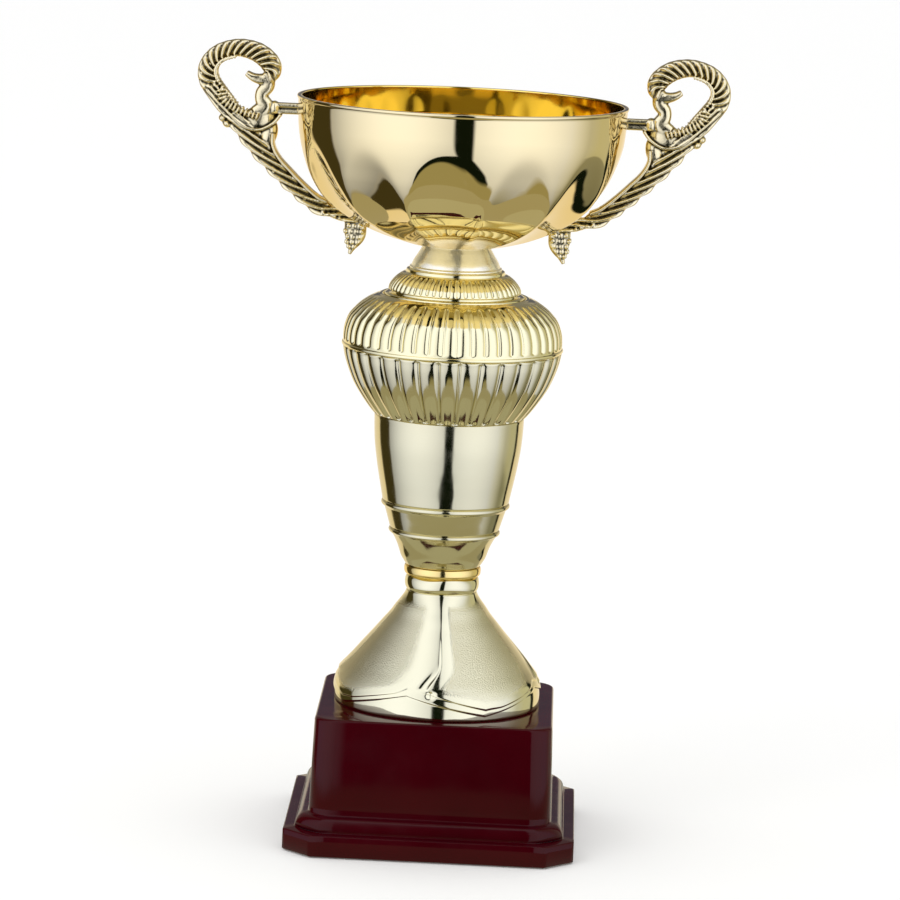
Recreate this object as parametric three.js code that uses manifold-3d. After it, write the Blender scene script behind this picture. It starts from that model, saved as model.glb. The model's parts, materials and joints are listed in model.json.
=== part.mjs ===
// Cup trophy with two scroll handles on a fluted column and a square plinth.
// Millimetres, +Z up. The origin is the middle of the underside, the front faces -Y,
// and the two handles lie in the XZ plane.
// Every round piece is modelled from its own underside (z = 0) and stacked on the tie rod.

import * as THREE from 'three';
import { mergeVertices } from 'three/addons/utils/BufferGeometryUtils.js';
import Module from 'manifold-3d';

const wasm = await Module();
wasm.setup();

// ---- Driving dimensions -------------------------------------------------------------

// Cup
const RIM_RADIUS = 70;
const CUP_HEIGHT = 61.25;
const SHEET = 1;                    // pressed sheet thickness
const PETALS = 12;                  // flat facets pressed round the cup
const PETAL_TOP = 46;               // height above the cup's bottom where a facet begins
const PETAL_FULL = 28;              // height below which neighbouring facets meet

// Heights of the stacked column pieces, from the plinth upwards
const PLINTH_HEIGHT = 57;
const FOOT_HEIGHT = 55.5;
const RING_HEIGHT = 4;
const STEM_HEIGHT = 65;
const BULB_LOWER_HEIGHT = 28.75;
const BULB_UPPER_HEIGHT = 21.25;
const COLLAR_HEIGHT = 12.5;
const NECK_HEIGHT = 10.25;

// Column radii
const FOOT_RADIUS = 44.75;
const WAIST_RADIUS = 14.5;
const RING_RADIUS = 16.5;
const STEM_TOP_RADIUS = 32;
const BULB_RADIUS = 47;
const COLLAR_RADIUS = 29.9;
const NECK_RADIUS = 19.5;
const NECK_TOP_RADIUS = 14.2;
const WALL = 2;                     // moulded column shells
const LOWER_FLUTES = 32;
const UPPER_FLUTES = 48;
const FLUTE_DEPTH = 1.2;

// Plinth
const BLOCK_HALF = 51.2;            // half width of the block at its foot
const BLOCK_TAPER = 0.98;           // top width over bottom width
const BLOCK_CORNER = 9.5;
const PLATE_HALF = 61.5;
const PLATE_CHAMFER = 12;
const PLATE_TOP = 9.6;
const MOULDING_RISE = 7;
const MOULDING_SPREAD = 5;
const PLINTH_WALL = 2.5;
const RIM_LIFT = 0.5;               // the pads hold the plinth's rim this far off the table
const COVER_BOTTOM = 1;
const COVER_THICKNESS = 2.4;
const BOSS_OFFSET = 54;
const BOSS_RADIUS = 3.2;
const PAD_OFFSET = 42;
const PAD_RADIUS = 7;
const BALLAST_HALF = 42;
const BALLAST_THICKNESS = 12;

// Hardware
const ROD_RADIUS = 3;
const ROD_HOLE = 3.4;
const NUT_ACROSS_FLATS = 10;
const NUT_HEIGHT = 5;
const WASHER_THICKNESS = 1.5;
const SCREW_RADIUS = 1.3;
const SCREW_HEAD_RADIUS = 2.6;
const SCREW_HEAD_HEIGHT = 1.6;
const GAP = 0.3;                    // running gap round screws and between shaped neighbours

// Handles
const HANDLE_THICKNESS = 8.4;
const LEAF_THICKNESS = 6.4;
const PEG_RADIUS = 2.4;
const PEG_Z = 308.75;
const PEG_START = 66;                // inside the cup's wall, cut back to it
const PEG_END = 88;

// Flat steps round a full turn
const CUP_SEGMENTS = 4 * PETALS;
const SMOOTH_SEGMENTS = 36;
const SMALL_SEGMENTS = 24;
const SCREW_SEGMENTS = 12;

// ---- Heights of the joints in the stack ---------------------------------------------

const FOOT_Z = PLINTH_HEIGHT;
const RING_Z = FOOT_Z + FOOT_HEIGHT;
const STEM_Z = RING_Z + RING_HEIGHT;
const BULB_LOWER_Z = STEM_Z + STEM_HEIGHT;
const BULB_UPPER_Z = BULB_LOWER_Z + BULB_LOWER_HEIGHT;
const COLLAR_Z = BULB_UPPER_Z + BULB_UPPER_HEIGHT;
const NECK_Z = COLLAR_Z + COLLAR_HEIGHT;
const CUP_Z = NECK_Z + NECK_HEIGHT;
const BALLAST_Z = PLINTH_HEIGHT - PLINTH_WALL - BALLAST_THICKNESS;

// ---- Materials ------------------------------------------------------------------------

const metal = (color, roughness) => new THREE.MeshStandardMaterial({ color, roughness, metalness: 1 });
const plastic = (color, roughness) => new THREE.MeshStandardMaterial({ color, roughness, metalness: 0 });

const CUP_GOLD = metal(0xe3c667, 0.12);
const COLUMN_GOLD = metal(0xe6dcae, 0.2);
const HANDLE_GOLD = metal(0xdcc98a, 0.28);
const ZINC = metal(0xb9bcc0, 0.35);
const IRON = metal(0x5a5a5c, 0.7);
const BURGUNDY = plastic(0x3a0610, 0.2);
const BLACK_BOARD = plastic(0x1c1c1c, 0.8);
const PAD_FELT = plastic(0x2a2a2a, 0.95);

// ---- Geometry helpers -----------------------------------------------------------------

// One closed indexed body: shared corners merged, and triangles that collapse on the axis dropped.
function weld(geometry) {
  const bare = geometry.clone();
  bare.deleteAttribute('normal');
  bare.deleteAttribute('uv');
  const merged = mergeVertices(bare);
  const corners = merged.index.array;
  const kept = [];
  for (let i = 0; i < corners.length; i += 3) {
    const [a, b, c] = corners.slice(i, i + 3);
    if (a !== b && b !== c && c !== a) kept.push(a, b, c);
  }
  merged.setIndex(kept);
  return merged;
}

function toSolid(geometry) {
  const body = weld(geometry);
  return new wasm.Manifold(new wasm.Mesh({
    numProp: 3,
    vertProperties: new Float32Array(body.attributes.position.array),
    triVerts: new Uint32Array(body.index.array),
  }));
}

function fromSolid(solid) {
  const mesh = solid.getMesh();
  const geometry = new THREE.BufferGeometry();
  geometry.setAttribute('position', new THREE.BufferAttribute(mesh.vertProperties, 3));
  geometry.setIndex(new THREE.BufferAttribute(mesh.triVerts, 1));
  geometry.computeVertexNormals();
  return geometry;
}

const joined = (...geometries) => fromSolid(geometries.map(toSolid).reduce((all, next) => all.add(next)));
const cut = (geometry, ...tools) => fromSolid(tools.map(toSolid).reduce((rest, tool) => rest.subtract(tool),
  toSolid(geometry)));

const point = ([radius, height]) => new THREE.Vector2(radius, height);

// A smooth run of profile points through a few stations, each [radius, height].
const smooth = (stations, divisions) => new THREE.SplineCurve(stations.map(point)).getPoints(divisions);

// A rounded bead in the profile, bulging outwards between two heights at one radius.
function bead(radius, low, high, bulge, divisions = 2) {
  const points = [];
  for (let i = 0; i <= divisions; i++) {
    const share = i / divisions;
    points.push(point([radius + bulge * Math.sin(Math.PI * share), low + (high - low) * share]));
  }
  return points;
}

// The same run of points moved along its normals, towards the axis for a positive distance.
function shifted(run, distance) {
  return run.map((here, i) => {
    const before = run[Math.max(i - 1, 0)];
    const after = run[Math.min(i + 1, run.length - 1)];
    const along = after.clone().sub(before).normalize();
    return new THREE.Vector2(here.x - along.y * distance, here.y + along.x * distance);
  });
}

// A solid of revolution round Z. The profile runs up the outside between two ends on the axis.
// Angle 0 is the front (-Y) and angles grow towards +X; radiusAt can press facets or flutes into it.
function turned(profile, segments, radiusAt = (radius) => radius) {
  const geometry = new THREE.LatheGeometry(profile, segments);
  const position = geometry.attributes.position;
  for (let i = 0; i < position.count; i++) {
    const angle = Math.atan2(position.getX(i), position.getZ(i));
    const radius = Math.hypot(position.getX(i), position.getZ(i));
    const factor = radius > 0 ? radiusAt(radius, position.getY(i), angle) / radius : 1;
    position.setX(i, position.getX(i) * factor);
    position.setZ(i, position.getZ(i) * factor);
  }
  return weld(geometry.rotateX(Math.PI / 2));
}

// A run of profile points, closed on the axis at both ends. The shapes below it are turned from
// plain [radius, height] pairs.
const toAxis = (run) => [point([0, run[0].y]), ...run, point([0, run[run.length - 1].y])];
const turnedPoints = (pairs, segments = SMALL_SEGMENTS) => turned(toAxis(pairs.map(point)), segments);

const upright = (radius, low, high, segments = SMALL_SEGMENTS) => turnedPoints([[radius, low],
  [radius, high]], segments);

// A column piece: a solid of revolution less its hollow and the hole for the tie rod.
function columnShell(outside, hollow, segments, radiusAt) {
  const top = outside[outside.length - 1].y;
  return cut(turned(toAxis(outside), segments, radiusAt), turnedPoints(hollow),
    upright(ROD_HOLE, -1, top + 1));
}

const rodWasher = (radius, thickness) => cut(upright(radius, 0, thickness),
  upright(ROD_HOLE, -1, thickness + 1));

// Grooves between convex flutes: every second vertex round the turn sits at the bottom of a groove.
// They fade out above and below the given heights.
const fluted = (count, low, high) => (radius, height, angle) => {
  const inGroove = 0.5 - 0.5 * Math.cos(angle * count);
  const fade = THREE.MathUtils.smoothstep(height, low - 1, low)
    * (1 - THREE.MathUtils.smoothstep(height, high, high + 1));
  return radius - FLUTE_DEPTH * inGroove * fade;
};

// ---- Cup --------------------------------------------------------------------------------

// Outer profile at the middle of a facet, from the flat bottom to just below the rim.
const CUP_STATIONS = [[28, 2.3], [38.7, 6.4], [49, 12.4], [59.2, 21.2], [64.4, 28.8], [67.4, 39], [69.2, 49]];
const CUP_FLAT_RADIUS = 17;
const RIM_BEAD = 0.9;

// Facets are flat across, so away from a facet's middle the wall stands further out, until it
// reaches the round cup that the facets are pressed into.
function petalRadius(radius, height, angle) {
  const step = 2 * Math.PI / PETALS;
  const across = angle - step * Math.round(angle / step);
  const full = 1 / Math.cos(step / 2) - 1;
  const deep = 1 - THREE.MathUtils.smoothstep(height, PETAL_FULL, PETAL_TOP);
  const shallow = THREE.MathUtils.smoothstep(radius, CUP_FLAT_RADIUS, 1.6 * CUP_FLAT_RADIUS);
  return radius * Math.min(1 / Math.cos(across), 1 + full * deep * shallow);
}

const cupWall = () => [point([CUP_FLAT_RADIUS, 0]), ...smooth(CUP_STATIONS, 8),
  point([RIM_RADIUS - RIM_BEAD / 2, CUP_HEIGHT - 3 * RIM_BEAD])];

function cupBowl() {
  const rim = [[RIM_RADIUS, CUP_HEIGHT - 2 * RIM_BEAD], [RIM_RADIUS, CUP_HEIGHT - RIM_BEAD / 2],
    [RIM_RADIUS - RIM_BEAD / 2, CUP_HEIGHT]].map(point);
  const lining = shifted(cupWall(), SHEET);
  lining[0] = point([CUP_FLAT_RADIUS, SHEET]);
  const mouth = point([RIM_RADIUS - RIM_BEAD - SHEET, CUP_HEIGHT + 1]);
  return cut(turned(toAxis([...cupWall(), ...rim]), CUP_SEGMENTS, petalRadius),
    turned(toAxis([...lining, mouth]), CUP_SEGMENTS, petalRadius), upright(ROD_HOLE, -1, 2 * SHEET),
    ...screwHoles(0), ...screwHoles(Math.PI));
}

// The cup filled in and grown by the gap, which shapes whatever stands against it.
function cupEnvelope() {
  const grown = shifted(cupWall(), -GAP);
  return turned(toAxis([...grown, point([RIM_RADIUS + GAP, CUP_HEIGHT])]), CUP_SEGMENTS, petalRadius);
}

// ---- Handle screws ------------------------------------------------------------------------

// Where each handle screw passes the cup's outer wall, its direction from inside to outside,
// and its length beyond the wall.
const CUP_SLOPE = Math.atan2(CUP_STATIONS[2][1] - CUP_STATIONS[1][1],
  CUP_STATIONS[2][0] - CUP_STATIONS[1][0]);
const HANDLE_SCREWS = {
  upper: { x: 69.5, z: PEG_Z, tilt: 0, reach: 8 },
  lower: { x: 44, z: CUP_Z + 9.5, tilt: Math.PI / 2 - CUP_SLOPE, reach: 4.6 },
};

// A geometry made along +Z, laid along a screw's direction at its place on the cup wall.
function alongScrew(geometry, screw, turn) {
  return geometry.rotateY(Math.PI / 2 + screw.tilt).translate(screw.x, 0, screw.z).rotateZ(turn);
}

// The drillings for one side's handle screws, with the cup's bottom at z = 0.
function screwHoles(turn) {
  return Object.values(HANDLE_SCREWS).map((screw) => alongScrew(
    upright(SCREW_RADIUS + GAP, -3 * SHEET, screw.reach + 1, SCREW_SEGMENTS), screw, turn)
    .translate(0, 0, -CUP_Z));
}

// A pan head on a plain shank with a blunt tip, made along +Z with the cup's outer wall at z = 0.
function handleScrew(screw) {
  const seat = -SHEET - 2 * GAP;
  const crown = seat - SCREW_HEAD_HEIGHT;
  const blank = turnedPoints([[0.6 * SCREW_HEAD_RADIUS, crown], [SCREW_HEAD_RADIUS, crown / 2 + seat / 2],
    [SCREW_HEAD_RADIUS, seat], [SCREW_RADIUS, seat], [SCREW_RADIUS, screw.reach - 1],
    [0.4 * SCREW_RADIUS, screw.reach]], SCREW_SEGMENTS);
  return cut(blank, driverSlot().translate(0, 0, crown));
}

// The slot for a flat screwdriver, centred on a screw head's outer face.
const driverSlot = () => new THREE.BoxGeometry(0.7, 3 * SCREW_HEAD_RADIUS, SCREW_HEAD_HEIGHT);

// ---- Handles --------------------------------------------------------------------------------

// Centre lines in the XZ plane. The scroll runs up the arm from the cup's underside, round the elbow
// and over the loop to its head; the beak points into the loop and the neck joins head and elbow.
const SCROLL = [[42, 261.5], [50, 264.5], [58.5, 267.3], [68, 274.2], [77, 282.3], [85.5, 291.5],
  [92.5, 300.5], [99, 308], [105.5, 315.5], [108.3, 324], [104.5, 332], [95.5, 335], [86, 332.2],
  [81.4, 326.5], [81.4, 321.5]];
const BEAK = [[79, 321.2], [85, 321.2], [91.5, 322.4]];
const NECK_OF_SCROLL = [[82.5, 323], [82, 318.5], [84.3, 313.5], [90, 308], [94, 303]];

// Half the scroll's width at a share of its length.
function scrollHalfWidth(share) {
  const { smoothstep } = THREE.MathUtils;
  const arm = 2.4 + 1.8 * smoothstep(share, 0, 0.2) + 1.1 * smoothstep(share, 0.35, 0.45);
  return arm - 1.3 * smoothstep(share, 0.52, 0.62) + 0.8 * smoothstep(share, 0.8, 0.9)
    - 1.4 * smoothstep(share, 0.92, 1);
}

// A closed outline that follows a centre line at a changing half width.
function ribbon(stations, halfWidth, divisions) {
  const centre = new THREE.SplineCurve(stations.map(point));
  const left = [];
  const right = [];
  for (let i = 0; i <= divisions; i++) {
    const share = i / divisions;
    const here = centre.getPoint(share);
    const along = centre.getTangent(share);
    const side = new THREE.Vector2(-along.y, along.x).multiplyScalar(halfWidth(share));
    left.push(here.clone().add(side));
    right.push(here.clone().sub(side));
  }
  return new THREE.Shape([...right, ...left.reverse()]);
}

// A flat outline given thickness in Y with softened edges.
function slab(shape, thickness, softening = 1.2) {
  const geometry = new THREE.ExtrudeGeometry(shape, { depth: thickness - 2 * softening, curveSegments: 5,
    bevelEnabled: true, bevelThickness: softening, bevelSize: softening, bevelOffset: -softening,
    bevelSegments: 1 });
  return geometry.translate(0, 0, softening - thickness / 2).rotateX(Math.PI / 2);
}

function leafOutline() {
  const leaf = new THREE.Shape();
  leaf.moveTo(37, 262);
  leaf.bezierCurveTo(37.4, 256, 40.6, 251.4, 45.2, 248);
  leaf.bezierCurveTo(48.4, 251.4, 48.9, 256, 48.8, 264.4);
  leaf.lineTo(44, 266);
  return leaf;
}

function elbowOutline() {
  const elbow = new THREE.Shape();
  elbow.moveTo(79.5, 305.5);
  elbow.bezierCurveTo(76.6, 300, 78, 293.5, 82.5, 290);
  elbow.bezierCurveTo(92, 292, 101.5, 299, 104.2, 309);
  elbow.bezierCurveTo(98, 312.5, 88, 313, 79.5, 305.5);
  return elbow;
}

function scrollHandle() {
  const peg = upright(PEG_RADIUS, PEG_START, PEG_END, 12).rotateY(Math.PI / 2).translate(0, 0, PEG_Z);
  const body = joined(
    slab(ribbon(SCROLL, scrollHalfWidth, 30), HANDLE_THICKNESS, 0.9),
    slab(ribbon(BEAK, (share) => 3.6 - 2 * share, 5), HANDLE_THICKNESS - 1.2),
    slab(ribbon(NECK_OF_SCROLL, () => 2.6, 8), HANDLE_THICKNESS - 1.6),
    slab(elbowOutline(), HANDLE_THICKNESS - 0.8),
    slab(leafOutline(), LEAF_THICKNESS, 1),
    peg,
  );
  return cut(body, cupEnvelope().translate(0, 0, CUP_Z),
    ...screwHoles(0).map((hole) => hole.translate(0, 0, CUP_Z)));
}

// ---- Column -----------------------------------------------------------------------------------

function neckRiser() {
  const outside = smooth([[NECK_RADIUS, 0], [18.6, 2.4], [16.2, 6.2], [NECK_TOP_RADIUS, NECK_HEIGHT]], 4);
  const hollow = [[NECK_RADIUS - WALL, -1], [NECK_RADIUS - WALL, 0.5], [NECK_TOP_RADIUS - WALL,
    NECK_HEIGHT - WALL]];
  return columnShell(outside, hollow, SMALL_SEGMENTS);
}

function gadroonCollar() {
  const flange = [[COLLAR_RADIUS, 0], [COLLAR_RADIUS, 1.6]].map(point);
  const groove = [[27.2, 2.1], [27.2, 2.9]].map(point);
  const gadroons = smooth([[28.2, 3.1], [27.4, 6], [25, 9], [21.4, 11]], 3);
  const band = [[20.9, 11.2], [20.9, COLLAR_HEIGHT]].map(point);
  const hollow = [[24.8, -1], [24.4, 6], [18.4, COLLAR_HEIGHT - WALL]];
  return columnShell([...flange, ...groove, ...gadroons, ...band], hollow, SMOOTH_SEGMENTS);
}

// The dome above the equator. Its top is recessed to seat the collar.
function bulbUpper() {
  const ridge = bead(BULB_RADIUS, 0, 2.4, 0.3);
  const dome = smooth([[46.6, 2.8], [46, 8.4], [43.4, 14], [39.4, 18.6], [34, 21.6], [31.2, 22.5]], 5);
  const rim = point([COLLAR_RADIUS + GAP, 22.2]);
  const seat = point([COLLAR_RADIUS + GAP, BULB_UPPER_HEIGHT]);
  const hollow = [[BULB_RADIUS - 2 * WALL, -1], [42, 8], [37, 15.6], [29, BULB_UPPER_HEIGHT - WALL]];
  return columnShell([...ridge, ...dome, rim, seat], hollow, 2 * UPPER_FLUTES,
    fluted(UPPER_FLUTES, 4, 20));
}

function bulbLower() {
  const outside = smooth([[32.2, 0], [38.2, 7.6], [43.7, 18.2], [46.4, BULB_LOWER_HEIGHT]], 6);
  const hollow = [[29, WALL], [34.4, 8], [40.4, 18.2], [BULB_RADIUS - 2 * WALL, BULB_LOWER_HEIGHT + 1]];
  return columnShell(outside, hollow, 2 * LOWER_FLUTES, fluted(LOWER_FLUTES, 2, BULB_LOWER_HEIGHT - 1));
}

function stem() {
  const lower = smooth([[RING_RADIUS - 0.6, 0], [19.1, 8], [23.1, 13.8]], 2);
  const middle = smooth([[23.4, 16.2], [24.8, 22.4], [26.6, 25.6]], 2);
  const upper = smooth([[27.1, 28], [28.9, 37.5], [31.2, 51.4], [STEM_TOP_RADIUS, STEM_HEIGHT]], 4);
  const outside = [...lower, ...bead(23.3, 14, 16, 0.8), ...middle, ...bead(26.8, 25.8, 27.8, 0.8), ...upper];
  const hollow = [[RING_RADIUS - 0.6 - WALL, -1], [21, 15], [24.8, 27], [28.8, 51.4],
    [STEM_TOP_RADIUS - WALL, STEM_HEIGHT - WALL]];
  return columnShell(outside, hollow, SMOOTH_SEGMENTS);
}

function waistRing() {
  const outside = [point([WAIST_RADIUS, 0]), ...bead(WAIST_RADIUS, 0.4, RING_HEIGHT - 0.4,
    RING_RADIUS - WAIST_RADIUS, 4), point([WAIST_RADIUS, RING_HEIGHT])];
  return cut(turned(toAxis(outside), SMALL_SEGMENTS), upright(ROD_HOLE, -1, RING_HEIGHT + 1));
}

function flaredFoot() {
  const cuff = [[FOOT_RADIUS, 0], [FOOT_RADIUS - 0.5, 8.6]].map(point);
  const cone = smooth([[43.4, 10.4], [34.7, 22.7], [25.8, 33.2], [19.6, 41.1], [15.7, 48.1]], 5);
  const knop = bead(WAIST_RADIUS, 49.2, 55.2, 1.1, 3);
  const hollow = [[FOOT_RADIUS - WALL, -1], [FOOT_RADIUS - WALL, 6], [33, 20.6], [WAIST_RADIUS - WALL, 47],
    [WAIST_RADIUS - WALL, FOOT_HEIGHT - WALL]];
  return columnShell([...cuff, ...cone, ...knop, point([WAIST_RADIUS, FOOT_HEIGHT])], hollow,
    SMOOTH_SEGMENTS);
}

// ---- Tie rod and its nuts -----------------------------------------------------------------------

const ROD_BOTTOM = BALLAST_Z - WASHER_THICKNESS - NUT_HEIGHT - 2.5;
const ROD_TOP = CUP_Z + SHEET + WASHER_THICKNESS + NUT_HEIGHT + 0.5;

function tieRod() {
  const length = ROD_TOP - ROD_BOTTOM;
  return turnedPoints([[ROD_RADIUS - 0.6, 0], [ROD_RADIUS, 0.8], [ROD_RADIUS, length - 0.8],
    [ROD_RADIUS - 0.6, length]], SCREW_SEGMENTS);
}

function hexagon() {
  const corner = NUT_ACROSS_FLATS / Math.sqrt(3);
  const shape = new THREE.Shape();
  for (let i = 0; i < 6; i++) {
    const angle = i * Math.PI / 3;
    shape.lineTo(corner * Math.cos(angle), corner * Math.sin(angle));
  }
  shape.closePath();
  return shape;
}

const nutBlank = (height) => new THREE.ExtrudeGeometry(hexagon(), { depth: height, bevelEnabled: false });
const nutDrill = () => upright(ROD_RADIUS + GAP, -1, NUT_HEIGHT + 1, SCREW_SEGMENTS);

const hexNut = () => cut(nutBlank(NUT_HEIGHT), nutDrill());

function capNut() {
  const radius = NUT_ACROSS_FLATS / 2 - 0.3;
  const dome = turnedPoints([[radius, 1], [radius, NUT_HEIGHT - 1], [0.8 * radius, NUT_HEIGHT + 1.6],
    [0.35 * radius, NUT_HEIGHT + 3]], 16);
  return cut(joined(nutBlank(NUT_HEIGHT - 1), dome), nutDrill());
}

// ---- Plinth ---------------------------------------------------------------------------------------

function roundedSquare(half, corner) {
  const shape = new THREE.Shape();
  const inner = half - corner;
  shape.absarc(inner, inner, corner, 0, Math.PI / 2);
  shape.absarc(-inner, inner, corner, Math.PI / 2, Math.PI);
  shape.absarc(-inner, -inner, corner, Math.PI, 1.5 * Math.PI);
  shape.absarc(inner, -inner, corner, 1.5 * Math.PI, 2 * Math.PI);
  return shape;
}

function chamferedSquare(half, chamfer) {
  const shape = new THREE.Shape();
  const near = half - chamfer;
  shape.moveTo(half, near);
  shape.lineTo(near, half);
  shape.lineTo(-near, half);
  shape.lineTo(-half, near);
  shape.lineTo(-half, -near);
  shape.lineTo(-near, -half);
  shape.lineTo(near, -half);
  shape.lineTo(half, -near);
  shape.closePath();
  return shape;
}

function prism(shape, low, high, softening = 0) {
  return new THREE.ExtrudeGeometry(shape, { depth: high - low - 2 * softening, curveSegments: 5,
    bevelEnabled: softening > 0, bevelThickness: softening, bevelSize: softening, bevelOffset: -softening,
    bevelSegments: 2 }).translate(0, 0, low + softening);
}

// Narrows a prism evenly from its full width at z = 0 to the block's taper at the top of the plinth.
function tapered(geometry) {
  const position = geometry.attributes.position;
  for (let i = 0; i < position.count; i++) {
    const factor = 1 - (1 - BLOCK_TAPER) * position.getZ(i) / PLINTH_HEIGHT;
    position.setX(i, position.getX(i) * factor);
    position.setY(i, position.getY(i) * factor);
  }
  return geometry;
}

// The convex roll between the block and the plate's shelf. Its lower half is buried in the plate.
function moulding() {
  const half = BLOCK_HALF - 0.2;
  return new THREE.ExtrudeGeometry(roundedSquare(half, BLOCK_CORNER), { depth: 0.2, curveSegments: 5,
    bevelThickness: MOULDING_RISE, bevelSize: MOULDING_SPREAD, bevelSegments: 3 })
    .translate(0, 0, PLATE_TOP - 0.2);
}

const sides = [0, 1, 2, 3].map((i) => i * Math.PI / 2);
const onSide = (geometry, offset, angle) => geometry.translate(offset, 0, 0).rotateZ(angle);

function plinthShell() {
  const cover = COVER_BOTTOM + COVER_THICKNESS;
  const block = tapered(prism(roundedSquare(BLOCK_HALF, BLOCK_CORNER), 2, PLINTH_HEIGHT, 1));
  const plate = prism(chamferedSquare(PLATE_HALF, PLATE_CHAMFER), RIM_LIFT, PLATE_TOP);
  const lowerMoulding = upright(2 * PLATE_HALF, -PLATE_HALF, PLATE_TOP - MOULDING_RISE / 2, 24);
  const outside = joined(block, plate, cut(moulding(), lowerMoulding));
  const blockHollow = tapered(prism(roundedSquare(BLOCK_HALF - PLINTH_WALL, BLOCK_CORNER - PLINTH_WALL),
    -1, PLINTH_HEIGHT - PLINTH_WALL));
  const plateHollow = prism(chamferedSquare(PLATE_HALF - PLINTH_WALL, PLATE_CHAMFER - 1), -1,
    PLATE_TOP - PLINTH_WALL);
  const bosses = sides.map((angle) => onSide(upright(BOSS_RADIUS, cover, PLATE_TOP, SCREW_SEGMENTS),
    BOSS_OFFSET, angle));
  const pilots = sides.map((angle) => onSide(upright(SCREW_RADIUS + GAP, -1, PLATE_TOP + 0.5,
    SCREW_SEGMENTS), BOSS_OFFSET, angle));
  return cut(outside, blockHollow, cut(plateHollow, ...bosses), ...pilots,
    upright(ROD_HOLE, PLINTH_HEIGHT - 2 * PLINTH_WALL, PLINTH_HEIGHT + 1));
}

function ballastPlate() {
  const blank = prism(roundedSquare(BALLAST_HALF, 4), 0, BALLAST_THICKNESS);
  return cut(blank, upright(ROD_HOLE, -1, BALLAST_THICKNESS + 1));
}

// Radius and height up the cone of a countersunk head, grown for the seat that it sinks into.
const countersink = (grow) => [[SCREW_HEAD_RADIUS + grow, 0.3],
  [SCREW_RADIUS + grow, 0.3 + SCREW_HEAD_RADIUS - SCREW_RADIUS]];

// A countersunk screw standing on its head.
function coverScrew() {
  const screw = turnedPoints([[SCREW_HEAD_RADIUS, 0], ...countersink(0), [SCREW_RADIUS, 7],
    [0.4 * SCREW_RADIUS, 8]], SCREW_SEGMENTS);
  return cut(screw, driverSlot().translate(0, 0, -0.3));
}

function bottomCover() {
  const blank = prism(chamferedSquare(PLATE_HALF - PLINTH_WALL - GAP, PLATE_CHAMFER - 1), COVER_BOTTOM,
    COVER_BOTTOM + COVER_THICKNESS);
  const hole = [[SCREW_HEAD_RADIUS + GAP, -1], ...countersink(GAP), [SCREW_RADIUS + GAP, 6]];
  return cut(blank, ...sides.map((angle) => onSide(turnedPoints(hole, SCREW_SEGMENTS)
    .translate(0, 0, COVER_BOTTOM), BOSS_OFFSET, angle)));
}

const footPad = () => upright(PAD_RADIUS, 0, COVER_BOTTOM, 16);

// ---- Assembly ---------------------------------------------------------------------------------------

const trophy = new THREE.Group();

function place(name, geometry, material, height = 0, turn = 0) {
  const mesh = new THREE.Mesh(geometry, material);
  mesh.name = name;
  mesh.position.z = height;
  mesh.rotation.z = turn;
  trophy.add(mesh);
}

place('plinth_shell', plinthShell(), BURGUNDY);
place('ballast_plate', ballastPlate(), IRON, BALLAST_Z);
place('bottom_cover', bottomCover(), BLACK_BOARD);
sides.forEach((angle, i) => {
  place(`cover_screw_${i + 1}`, onSide(coverScrew(), BOSS_OFFSET, angle), ZINC, COVER_BOTTOM);
  place(`foot_pad_${i + 1}`, onSide(footPad(), PAD_OFFSET * Math.SQRT2, angle + Math.PI / 4), PAD_FELT);
});
place('flared_foot', flaredFoot(), COLUMN_GOLD, FOOT_Z);
place('waist_ring', waistRing(), CUP_GOLD, RING_Z);
place('stem', stem(), COLUMN_GOLD, STEM_Z);
place('bulb_lower', bulbLower(), COLUMN_GOLD, BULB_LOWER_Z);
place('bulb_upper', bulbUpper(), COLUMN_GOLD, BULB_UPPER_Z);
place('gadroon_collar', gadroonCollar(), COLUMN_GOLD, COLLAR_Z);
place('neck_riser', neckRiser(), COLUMN_GOLD, NECK_Z);
place('cup_bowl', cupBowl(), CUP_GOLD, CUP_Z);
place('tie_rod', tieRod(), ZINC, ROD_BOTTOM);
place('rod_washer', rodWasher(12, WASHER_THICKNESS), ZINC, BALLAST_Z - WASHER_THICKNESS);
place('rod_nut', hexNut(), ZINC, BALLAST_Z - WASHER_THICKNESS - NUT_HEIGHT);
place('cup_washer', rodWasher(9, WASHER_THICKNESS), ZINC, CUP_Z + SHEET);
place('cup_cap_nut', capNut(), ZINC, CUP_Z + SHEET + WASHER_THICKNESS);

const handle = scrollHandle();
for (const [side, turn] of [['right', 0], ['left', Math.PI]]) {
  place(`${side}_handle`, handle, HANDLE_GOLD, 0, turn);
  for (const [level, screw] of Object.entries(HANDLE_SCREWS)) {
    place(`${side}_handle_screw_${level}`, alongScrew(handleScrew(screw), screw, 0), ZINC, 0, turn);
  }
}

export default trophy;
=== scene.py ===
"""Looks of the two-handled cup trophy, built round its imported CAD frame.

Shapes are written in millimetres in the frame's own axes (+Z up, front facing -Y, handles along X)
and turned into metres when a mesh is made. Round pieces are surfaces of revolution, most of them
with a relief pressed in. An angle of 0 is the front and angles grow towards +X.
"""

import json
import math

import bmesh
import bpy
import numpy as np
from mathutils import Matrix, Vector


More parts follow.
